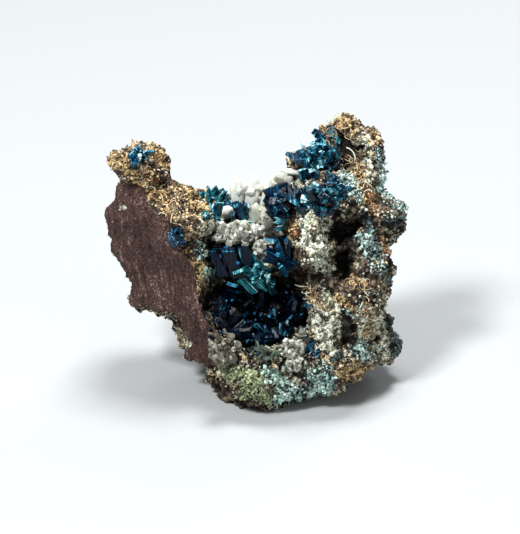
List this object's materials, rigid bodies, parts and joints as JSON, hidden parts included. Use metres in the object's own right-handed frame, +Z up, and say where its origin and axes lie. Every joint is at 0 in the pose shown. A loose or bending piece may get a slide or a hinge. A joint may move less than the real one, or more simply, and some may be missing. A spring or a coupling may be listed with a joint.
{
  "type": "veszelyite mineral specimen",
  "caption": "Loose hand specimen: a rough brown gossan fragment with horns beside a bowl, set with dark blue bladed crystals and stout milky ones, resting on a flat face.",
  "frame": {"origin": "a point near the middle of the flat rest face on the underside", "axes": "+Z up off the rest face, +X to the right and -Y towards the viewer when the crystals are looked at"},
  "size_m": [0.0254, 0.0158, 0.0229],
  "materials": {
    "gossan": "rough earthy stone, brown to ochre, with a dull maroon fracture face",
    "veszelyite": "glassy dark blue to teal crystal faces",
    "hemimorphite": "milky, cream-white, slightly translucent crystal"
  },
  "bodies": {
    "root": {"matrix_rock": "gossan", "veszelyite_summit": "veszelyite", "veszelyite_shoulder": "veszelyite", "veszelyite_brow": "veszelyite", "veszelyite_hook": "veszelyite", "veszelyite_fan": "veszelyite", "veszelyite_block": "veszelyite", "veszelyite_saddle": "veszelyite", "veszelyite_rim": "veszelyite", "veszelyite_horn": "veszelyite", "veszelyite_slope": "veszelyite", "veszelyite_ledge": "veszelyite", "vug_crystal_crust": "veszelyite", "hemimorphite_saddle": "hemimorphite", "hemimorphite_crest": "hemimorphite", "hemimorphite_ledge": "hemimorphite", "hemimorphite_pillar": "hemimorphite", "hemimorphite_foot": "hemimorphite", "hemimorphite_sill": "hemimorphite"}
  },
  "joints": []
}
